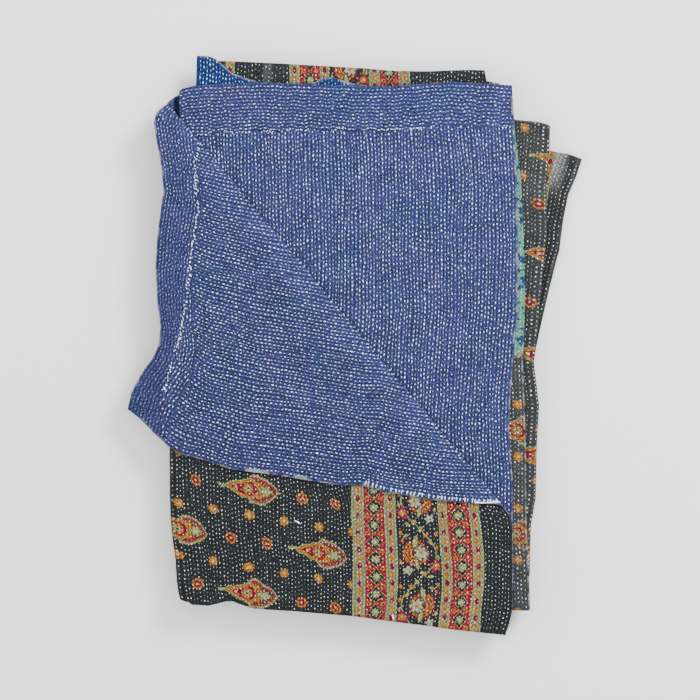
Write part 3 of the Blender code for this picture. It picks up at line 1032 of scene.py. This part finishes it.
VINE_LEAVES = [
    # place, direction, length, width, colour
    ((8.5, 20.5), 0.5, 3.6, 1.7, "orange"),
    ((19.0, 21.0), 1.2, 3.4, 1.6, "orange"),
    ((12.5, 12.0), 2.4, 3.4, 1.6, "yellow"),
    ((19.5, 7.0), 1.7, 3.2, 1.6, "orange"),
    ((11.0, -25.5), 0.2, 3.8, 1.6, "cream"),
    ((4.0, -23.0), 2.3, 3.6, 1.5, "yellow"),
    ((3.0, 26.0), 0.9, 3.8, 1.6, "cream"),
    ((-19.0, 22.5), 1.3, 3.2, 1.7, "orange"),
    ((-13.0, 19.0), 0.4, 3.6, 1.5, "cream"),
    ((20.0, -4.0), 1.4, 3.4, 1.4, "cream"),
    ((-19.5, -9.0), 1.8, 3.0, 1.4, "yellow"),
]
VINE_FLOWERS = [
    # place, radius, rim, heart
    ((16.5, -13.0), 7.0, "rose", "orange"),
    ((-13.0, -19.0), 4.6, "pale", "cream"),
    ((-17.5, 14.5), 3.0, "crimson", "orange"),
]


def weave(paint, x, y):
    """The cotton's threads, as a small height."""
    fine = paint.noise(x, y, 0.9, 1.0, 4.0)
    threads = (x * 5.2).sin() * (y * 5.2).sin()
    return (fine - 0.5) * 0.5 + threads * 0.12


def sewn_rows(paint, banded):
    """Where a point is among the stitches: 1 on a row, and 1 midway between its stitches."""
    u, v = paint.uv("sewn")
    over, run = u, v
    if banded:
        slant = v - u * SECOND_BAND[1]
        second = slant.over(SECOND_BAND[0], 0.01) * v.under(SEGMENT + PANEL[1], 0.01)
        level = (v.under(FIRST_BAND, 0.01) + second) * u.under(PANEL[0], 0.01)
        over = u + (v - u) * level
        run = v + (u - v) * level
    row = over / ROW
    across = (row * (2 * math.pi)).cos()
    along = ((run / PERIOD + row_phase(row.rounded(), run)) * (2 * math.pi)).cos()
    return u, v, across, along


def printed_cotton():
    """The face cloth: charcoal cotton with the print, rows of stitches, fading, and painted shade and
    highlight along the rows.
    """
    paint = Paint("printed_cotton", linear("charcoal"))
    lay, noise = paint.lay, paint.noise
    px, py = paint.uv("print")
    s, t = paint.uv("border")
    fade, hem = paint.uv("wear")
    u, v, across, along = sewn_rows(paint, False)
    wobble_x, wobble_y = ((noise(px, py, 3.2, 1.0, seed) - 0.5) * 1.5 for seed in (1.0, 2.0))
    cloud = noise(px, py, 38.0, 3.0, 9.0)
    lay("faded", fade * cloud.ramp(0.2, 0.8, 0.55, 0.95) * 0.9)
    ground = paint.colour
    field(paint, px + wobble_x, py + wobble_y)
    border(paint, s + wobble_x * 0.8, t + wobble_y * 0.8, ground)
    # The print is broken up by a fine grain, and faded in clouds. The rows are painted lighter further on,
    # a painted highlight.
    grain = noise(px, py, 1.5, 2.0, 6.0)
    lay("charcoal", grain.ramp(0.56, 0.74, 0.0, 0.45))
    lay("faded", fade * cloud.ramp(0.2, 0.8, 0.1, 0.25))
    lay("faded", cloud.ramp(0.45, 0.75, 0.0, 0.1))
    # The last panel's outer stripe is worn white, and the band beside the border's is faded.
    worn = fade.within(LAST_FADE - 0.02, LAST_FADE + 0.02, 0.01) * v.over(2262, 24)
    lay("worn", worn * s.over(139, 2.0) * s.under(150, 8.0) * grain.ramp(0.3, 0.6, 0.2, 0.6))
    band = s.within(161, 171, 0.8) * fade.over(0.05, 0.02)
    lay("faded", band * cloud.ramp(0.3, 0.6, 0.3, 0.8))
    # The turquoise strip on the third layer's hem.
    strip = fade.within(THIRD_FADE - 0.01, THIRD_FADE + 0.01, 0.004) * u.under(10.5, 0.6)
    strip = strip * v.over(2 * SEGMENT + 40, 3.0) * v.under(2 * SEGMENT + 293, 6.0)
    blot = noise(px, py, 9.0, 1.0, 12.0)
    lay("turquoise", strip)
    lay("teal", strip * blot.over(0.56, 0.03))
    hemmed = fade.over(0.5, 0.1) * hem.under(1.1, 0.6)
    rim = hemmed * noise(u, v, 14.0, 2.0, 15.0).over(0.5, 0.08) * (1 - strip)
    lay("worn", rim * 0.6)
    # Painted shade: darker dimples where the stitches pull the cloth in, and darker between the rows, most
    # beside the gaps between stitches.
    patchy = noise(u, v, 3.4, 1.0, 18.0).ramp(0.34, 0.6, 0.15, 1.0)
    pull = across.ramp(-0.2, 1.0) * along.ramp(-0.4, 1.0) * patchy
    speck = noise(px, py, 2.1, 2.0, 26.0)
    gap = across.ramp(0.1, -1.0) * (along.ramp(0.4, -1.0) * 0.42 + 0.12)
    # Painted highlight: the rows of stitches are laid lighter in the faded grey, in specks.
    lay("faded", across.ramp(-0.2, 0.9) * speck.ramp(0.42, 0.66) * 0.26)
    # The colour is scaled by the painted shade and by random specks, and then by the points' painted
    # shade.
    tone = (1 - gap) * (1 - pull * 0.45) * speck.ramp(0.3, 0.68, 0.55, 1.45)
    paint.shade(tone * (1.0 + paint.value("painted_shade") * 0.22))
    height = across * -0.1 + pull * -0.5 + weave(paint, px, py) * 0.4 + (grain - 0.5) * 0.5
    return paint.cloth(height, 0.9, 0.93, 0.03)


def blue_cotton():
    """The backing cloth: faded indigo cotton with patches of other blues, and painted shade and highlight
    along its rows.
    """
    paint = Paint("blue_cotton", linear("indigo"))
    lay, noise = paint.lay, paint.noise
    px, py = paint.uv("print")
    zone, hem = paint.uv("wear")
    u, v, across, along = sewn_rows(paint, True)
    cloud = noise(px, py, 60.0, 3.0, 3.0)
    blotch = noise(px, py, 14.0, 3.0, 5.0)
    grain = noise(px, py, 1.6, 2.0, 6.0)
    lay("teal", cloud.ramp(0.5, 0.72, 0.0, 0.4))
    lay("violet", cloud.ramp(0.5, 0.3, 0.0, 0.7))
    lay("teal", blotch.ramp(0.58, 0.75, 0.0, 0.35))
    bright = zone.over(0.9, 0.05)
    lay("bright", bright)
    patchy = noise(u, v, 3.2, 1.0, 18.0).ramp(0.36, 0.6, 0.1, 1.0)
    pull = across.ramp(-0.3, 1.0) * along.ramp(-0.5, 1.0) * patchy
    speck = noise(px, py, 2.3, 3.0, 26.0, 0.65)
    tone = noise(px, py, 24.0, 3.0, 28.0).ramp(0.32, 0.66, 0.88, 1.12)
    gap = across.ramp(0.1, -1.0) * (along.ramp(0.4, -1.0) * 0.62 + 0.18)
    # Painted shade: the dimples where the stitches pull the cloth in, and the space between the rows, are
    # laid in deep blue.
    lay("deep", (pull * 0.5 + gap).lower(1))
    # Painted highlight: the rows are laid lighter in the ridge blue.
    lay("ridge", across.ramp(-0.2, 0.9) * grain.ramp(0.42, 0.62) * (0.4 - bright * 0.25))
    # A dark line along the band's slanting seam: painted shadow under the raised band.
    slant = abs(v - u * SECOND_BAND[1] - (SECOND_BAND[0] + 1.4))
    seam = slant.under(0.7) * u.over(150, 40) * u.under(PANEL[0], 1.0)
    lay("deep", seam * 0.85)
    rim = hem.under(1.5, 0.8) * noise(u, v, 16.0, 2.0, 15.0).over(0.52, 0.06) * 0.6
    for low, high in WORN_HEM:
        rim = rim.higher(v.within(low, high, 3.0) * u.under(3.0, 0.8))
    lay("worn", rim * 0.9)
    lay("deep", speck.ramp(0.46, 0.34, 0.0, 0.5))
    lay("ridge", speck.ramp(0.56, 0.72, 0.0, 0.45) * (1 - bright * 0.5))
    # The colour is darkened again between the rows, a painted shade, with a slow random tone and specks,
    # and then scaled by the points' painted shade.
    tone = tone * (1 - gap * 0.6) * speck.ramp(0.3, 0.68, 0.6, 1.3)
    paint.shade((0.9 + paint.value("painted_shade") * 0.24) * tone)
    height = across * -0.1 + pull * -0.7 + weave(paint, px, py) * 0.4 + (grain - 0.5) * 0.6
    return paint.cloth(height, 1.2, 0.95, 0.05)


def thread_cotton(name, light):
    """The stitches' off-white thread, each stitch with its own tone."""
    paint = Paint(name, light)
    paint.shade(paint.value("tone"))
    return paint.done(0.8)


# ---------------------------------------------------------------- the stitches

def panel_place(number, below, u, v, side, lift):
    """Points over a panel of the quilt, or over the bend that follows it across the quilt.

    u and v run over the panel from its ends that are nearer the sheet's first hems.
    """
    total_u, total_v = number * PASS + u, below * SEGMENT + v
    bent = u > PANEL[0]
    leg = 2 * number + bent
    share = np.where(bent, (u - PANEL[0]) / SPINE_ARC, u / PANEL[0])
    one, none = np.ones_like(u), np.zeros_like(u)
    u_line = np.stack((leg, share, one, none), axis=1)
    v_line = np.stack((one * 2.0 * below, v / PANEL[1], one, none), axis=1)
    there = (u_line, v_line, total_u, total_v, side)
    places = settled(sheet_point(*there, lift=lift))
    if number == 0 and below == 0:
        flat = ~bent
        offset = side * (HALF_SHEET + relief(total_u, total_v, side) + lift)
        places[flat] = turned_points(sheet_point(*there, flat=True)[flat, :2], offset[flat])
    return places


# A stitch's rings: how far along it they are, how high they stand, and how wide they are.
RINGS = [
    (-0.5, -0.35, 0.55), (-0.3, 0.12, 0.95), (0.0, 0.26, 1.0), (0.3, 0.12, 0.95), (0.5, -0.35, 0.55),
]
CHORDS = [(-0.5, -0.28), (0.0, 0.28), (0.5, -0.28)]  # a ring's points: across, and up
RING, STITCH = len(CHORDS), len(RINGS) * len(CHORDS)  # the points of one
MARGIN = 0.3  # that a stitch keeps from the ends of its panel
MISSING = 0.035  # the share of stitches that are lost


def stitch_mesh(name, lots):
    """Stitches as small domed ribbons. A lot has its panel, side, centres, directions,
    lengths, widths and tones."""
    verts, faces, tones = [], [], []
    base = 0
    end_u, end_v = PANEL[0] + SPINE_ARC - MARGIN, PANEL[1] - MARGIN
    for lot in lots:
        u, v, way, length, width, tone = (
            np.asarray(lot[key], float) for key in ("u", "v", "way", "length", "width", "tone")
        )
        count = len(u)
        grid = []
        for along, lift, wide in RINGS:
            for across, dome in CHORDS:
                du = along * length * np.cos(way) - across * wide * width * np.sin(way)
                dv = along * length * np.sin(way) + across * wide * width * np.cos(way)
                rise = lift + dome * (0.75 if lift > 0 else 0.2) + lot.get("rise", 0.0)
                at = np.clip(u + du, MARGIN, end_u), np.clip(v + dv, MARGIN, end_v)
                grid.append(panel_place(*lot["panel"], *at, lot["side"], np.full(count, rise)))
        verts.append(np.stack(grid, axis=1).reshape(-1, 3))
        tones.append(np.repeat(tone, STITCH))
        for ring in range(len(RINGS) - 1):
            for chord in range(RING - 1):
                a = base + STITCH * np.arange(count) + ring * RING + chord
                faces.append(np.stack((a, a + 1, a + RING + 1, a + RING), axis=1))
        base += STITCH * count
    mesh = quad_mesh(name, MM * np.concatenate(verts), np.concatenate(faces))
    values = np.concatenate(tones).astype(np.float32)
    mesh.attributes.new("tone", "FLOAT", "POINT").data.foreach_set("value", values)
    mesh.shade_smooth()
    return mesh


def row_stitches(panel, side, u_range, v_range, length, width, keep, level=False, faint=None):
    """A lot of stitches in rows along a panel, or across it where they are level.

    keep says which there are, and faint, where it is given, how strongly each one shows.
    """
    start = np.array((panel[0] * PASS, panel[1] * SEGMENT))
    low = start + (u_range[0], v_range[0])
    high = start + (u_range[1], v_range[1])
    over, run = (1, 0) if level else (0, 1)
    rows = np.arange(math.ceil(low[over] / ROW), math.floor(high[over] / ROW) + 1)
    steps = np.arange(math.floor(low[run] / PERIOD) - 2, math.ceil(high[run] / PERIOD) + 3)
    row, step = (a.ravel() for a in np.meshgrid(rows, steps))
    place = step * PERIOD
    whole = np.floor(row_phase(row, 0 * row))
    for _ in range(12):  # until the places fit the phases there
        place = (step + 0.5 - (row_phase(row, place) - whole)) * PERIOD
    u, v = (place, row * ROW) if level else (row * ROW, place)
    u, v = u - start[0], v - start[1]
    wild = RNG.random((5, len(u)))
    good = (u > u_range[0]) & (u < u_range[1]) & (v > v_range[0]) & (v < v_range[1])
    good &= (wild[0] > MISSING) & keep(u, v)
    loose = 1.0 if side < 0 else 0.4
    tight = 0.8 + 0.4 * hashed(row, 0 * row, 31)
    strength = faint(u, v) if faint else 1.0
    seen = ((0.62 if side < 0 else 0.58) + 0.5 * wild[2]) * strength
    lot = {
        "u": u + loose * (1.3 if level else 0.9) * (wild[1] - 0.5),
        "v": v + loose * (0.9 if level else 1.3) * (wild[2] - 0.5),
        "way": (0.0 if level else math.pi / 2) + 0.55 * (wild[3] - 0.5),
        "length": length * tight * (0.7 + 0.6 * wild[4]) * seen,
        "width": width * (0.75 + 0.4 * wild[1]) * seen,
        "tone": ((0.55 if side < 0 else 0.3) + 0.7 * wild[2]) * strength,
    }
    lot = {key: value[good] for key, value in lot.items()}
    return {"panel": panel, "side": side, **lot}


def plan_of(number, below, u, v):
    """The flat X and Y of points of a panel."""
    share_u = u / PANEL[0] if number % 2 else 1 - u / PANEL[0]
    share_v = v / PANEL[1] if below % 2 else 1 - v / PANEL[1]
    layer = layers_in(number, below) + np.zeros_like(u)
    left, right, low, high = edges_of(layer, share_u, share_v)
    return np.stack((left + share_u * (right - left), low + share_v * (high - low)), axis=1)


def of_plan(number, below, xy):
    """Where on a panel points with these X and Y are, as distances u and v."""
    x, y = np.asarray(xy, float).T
    across, up = np.full_like(x, 0.5), np.full_like(x, 0.5)
    layer = layers_in(number, below) + np.zeros_like(x)
    for _ in range(8):  # until the shares fit the edges there
        left, right, low, high = edges_of(layer, across, up)
        across, up = (x - left) / (right - left), (y - low) / (high - low)
    u = PANEL[0] * (across if number % 2 else 1 - across)
    v = PANEL[1] * (up if below % 2 else 1 - up)
    return u, v


def flap_to_flat(xy):
    """Where on the flat top layer points of the turned corner lie."""
    return xy + (math.pi * FOLD_RADIUS - 2 * beyond_turn(xy))[:, None] * TURN_AWAY


# The lower edge of the turned corner, as it lies on the top layer: X and Y.
CORNER_EDGE = np.array([
    (-250, -70), (-232.8, -83), (-219.6, -96.3), (-204, -111.6), (-191, -119), (-174.5, -122.6),
    (-137, -133.6), (-93, -141.4), (-39, -150), (4.8, -152.4), (56.5, -164.5), (111.5, -172),
    (160, -174.4), (190, -176),
])
# Where the turned corner's hem is worn white, as distances along it.
WORN_HEM = [
    tuple(sorted(of_plan(0, 0, flap_to_flat(np.array(ends)))[1]))
    for ends in (((-120, -137.4), (-95, -141.2)), ((-67, -145.7), (-52, -148)))
]
# The whitish zigzag seam across the turned corner, as it lies there: X and Y.
CORNER_SEAM = np.array([
    (-169, 226), (-174.5, 204), (-175.6, 184.3), (-174, 167.8), (-172.3, 151.3), (-174, 137),
    (-177.7, 110.6), (-182, 80.9), (-184.4, 53.4), (-187.7, 31.4), (-191.5, 17.6), (-196, -1),
    (-202, -16), (-205.8, -36.9), (-210.8, -56.7),
])


def seam_lot(path, panel, side, pace, length, width, swing, tone, gaps=0.0):
    """Stitches that follow a path on a panel, each swung to the other side of it."""
    u, v = of_plan(*panel, path)
    step = np.concatenate(([0], np.cumsum(np.hypot(np.diff(u), np.diff(v)))))
    at = np.arange(1.5, step[-1], pace)
    at = at[smooth_noise(at / 14.0, 0 * at, 41) > gaps]
    at = at + 0.5 * pace * (RNG.random(len(at)) - 0.5)
    uu, vv = np.interp(at, step, u), np.interp(at, step, v)
    way = np.arctan2(np.gradient(vv), np.gradient(uu))
    stray = 1.6 * min(swing, 1.0) * (RNG.random(len(at)) - 0.5)
    uu, vv = uu - stray * np.sin(way), vv + stray * np.cos(way)
    way = way + swing * np.where(np.arange(len(at)) % 2, 1, -1) + 0.5 * (RNG.random(len(at)) - 0.5)
    count = len(at)
    return {
        "panel": panel, "side": side, "u": uu, "v": vv, "way": way,
        "length": length * (0.6 + 0.8 * RNG.random(count)),
        "width": width * (0.8 + 0.5 * RNG.random(count)),
        "tone": tone * (0.85 + 0.3 * RNG.random(count)),
        "rise": 0.15,
    }


def outside_seam(u, v):
    """How strongly stitches show on the turned corner: they are faint outside its seam."""
    x, y = flap_to_flat(plan_of(0, 0, np.minimum(u, PANEL[0]), v)).T
    seam = np.interp(y, *CORNER_SEAM[::-1, ::-1].T)
    outside = np.clip((seam - x - 1) / 4, 0, 1)
    return 1 - outside * (1 - np.interp(y, (0, 60, 210), (0.6, 0.7, 0.88)))


def blue_lots():
    """The stitches that are seen on the blue cloth."""
    long, wide = 2.35, 0.92
    lots = []
    for level in (False, True):
        def corner(u, v, level=level):
            return (beyond_turn(plan_of(0, 0, u, v)) > 0.6) & (in_band(u, v) == level)

        def second(u, v, level=level):
            return (beyond_turn(plan_of(0, 1, u, v)) > -4) & (in_band(u, v + SEGMENT) == level)

        lots.append(row_stitches(
            (0, 0), -1, (1.5, PANEL[0]), (1.5, PANEL[1]), long, wide, corner, level, outside_seam
        ))
        lots.append(row_stitches(
            (0, 1), -1, (1.5, PANEL[0]), (20.0, PANEL[1] - 1), long * (0.85 if level else 1), wide,
            second, level,
        ))

    def patch(u, v):
        return plan_of(0, 3, u, v)[:, 1] > 281

    lots.append(row_stitches((0, 3), -1, (150.0, PANEL[0]), (520.0, PANEL[1] - 1.5), long, wide, patch))
    # The corner's seam, whipped stitches over its hem, a frayed line, and the band's seam.
    whipped = [(10, -150.5), (56.5, -161.5), (111.5, -169), (158, -171.5)]
    frayed = [(132, -172.2), (146, -173), (161, -173)]
    band_seam = [(-177.8, 232.7), (-100, 236), (0, 239), (97.2, 242.6)]
    seam, whipped, frayed = (flap_to_flat(np.array(path)) for path in (CORNER_SEAM, whipped, frayed))
    lots.append(seam_lot(seam, (0, 0), -1, 3.9, 2.2, 1.1, 0.9, 1.25, 0.2))
    lots.append(seam_lot(whipped, (0, 0), -1, 4.3, 4.6, 1.0, 0.0, 1.05, 0.2))
    lots[-1]["way"] = lots[-1]["way"] + math.pi / 2
    lots.append(seam_lot(frayed, (0, 0), -1, 1.9, 3.0, 1.3, 0.2, 1.2))
    lots.append(seam_lot(np.array(band_seam), (0, 1), -1, 3.4, 2.3, 0.7, 0.5, 0.85, 0.4))
    return lots


def print_lots():
    """The stitches that are seen on the printed cloth."""
    def under_corner(u, v):
        x, y = plan_of(0, 0, np.minimum(u, PANEL[0]), v).T
        return (y < np.interp(x, *CORNER_EDGE.T) + 4) & (beyond_turn(np.stack((x, y), 1)) < -1)

    def right_strip(u, v):
        return plan_of(0, 2, u, v)[:, 0] > 165

    def second_strip(u, v):
        x, y = plan_of(1, 3, np.minimum(u, PANEL[0]), v).T
        return (x > 178) | (y > 276)

    def last_strip(u, v):
        return plan_of(3, 3, u, v)[:, 0] > 190

    dot, wide = 1.65, 0.9
    bend = PANEL[0] + SPINE_ARC * 0.45
    slubs = [((-66.5, -193), (-61, -195)), ((-66.5, -290), (-66.5, -295)), ((41, -296), (43, -301))]
    slubs = [seam_lot(np.array(path), (0, 0), 1, 2.0, 3.2, 1.3, 0.1, 1.15) for path in slubs]
    return slubs + [
        row_stitches((0, 0), 1, (1.5, bend), (250.0, PANEL[1] - 1), dot, wide, under_corner),
        row_stitches((0, 2), 1, (1.5, 36.0), (20.0, PANEL[1] - 2), dot * 1.15, wide, right_strip),
        row_stitches((1, 3), 1, (1.5, bend), (2.0, PANEL[1] - 1.5), dot * 1.15, wide, second_strip),
        row_stitches((3, 3), 1, (290.0, PANEL[0] - 1.5), (250.0, PANEL[1] - 1.5), dot * 1.15, wide,
                     last_strip),
    ]

# ---------------------------------------------------------------- the pieces

def sheet_piece(name, side, tables, material, node):
    """One cloth, on its side of the sheet."""
    return add_piece(name, cloth_mesh(name, side, *tables), material, node)


def thread_piece(name, lots, material_name, light):
    """The stitches that are seen on one cloth."""
    return add_piece(name, stitch_mesh(name, lots), thread_cotton(material_name, light))


face_shares, blue_shares = (FACE_PASSES, FACE_SEGMENTS), (BLUE_PASSES, BLUE_SEGMENTS)
printed = sheet_piece("printed_sheet", 1, face_shares, printed_cotton(), "face_cloth")
blue = sheet_piece("blue_sheet", -1, blue_shares, blue_cotton(), "backing_cloth")
blue_threads = thread_piece("blue_side_stitches", blue_lots(), "thread_on_blue", (0.84, 0.9, 0.99))
print_threads = thread_piece("print_side_stitches", print_lots(), "thread_on_print", (0.93, 0.94, 0.94))

# ---------------------------------------------------------------- floor, lights, camera

REACH = 6.0  # of the floor from its middle, in metres
corners = [(x, y, 0) for x, y in ((-REACH, -REACH), (REACH, -REACH), (REACH, REACH), (-REACH, REACH))]
floor = add_object("floor", quad_mesh("floor", np.array(corners, float), np.array([(0, 1, 2, 3)])))
floor.data.materials.append(Paint("pale_floor", (0.95, 0.95, 0.95)).done(0.95))

LIGHTS = [
    # name, place, size, watts
    ("key", (1.5, 1.6, 2.2), 1.1, 122.0),
    ("fill", (-2.0, -0.8, 2.6), 2.6, 40.0),
    ("over", (0.0, 0.0, 3.4), 3.0, 62.0),
]
for name, place, size, watts in LIGHTS:
    light = bpy.data.lights.new(name, "AREA")
    light.shape = "DISK"
    light.size = size
    light.energy = watts
    lamp = add_object(name, light)
    lamp.location = place
    way = -np.array(place) / np.linalg.norm(place)
    lamp.rotation_euler = (math.acos(-way[2]), 0.0, math.atan2(way[1], way[0]) - math.pi / 2)

world = bpy.data.worlds.new("soft_room")
world.use_nodes = True
background = world.node_tree.nodes["Background"].inputs
background["Color"].default_value = (1.0, 1.0, 1.0, 1.0)
background["Strength"].default_value = 0.95
bpy.context.scene.world = world

LENS, SENSOR = 280.0, 36.0  # the camera's, in millimetres
VIEW_WIDTH = 0.77  # what it sees, in metres, at VIEW_LEVEL over the floor
VIEW_LEVEL = 0.045
view = bpy.data.cameras.new("camera")
view.lens = LENS
view.sensor_width = SENSOR
camera = add_object("camera", view)
camera.location = (-0.00506, -0.00495, VIEW_WIDTH * LENS / SENSOR + VIEW_LEVEL)
camera.rotation_euler = (0.0, 0.0, 0.0)
bpy.context.scene.camera = camera
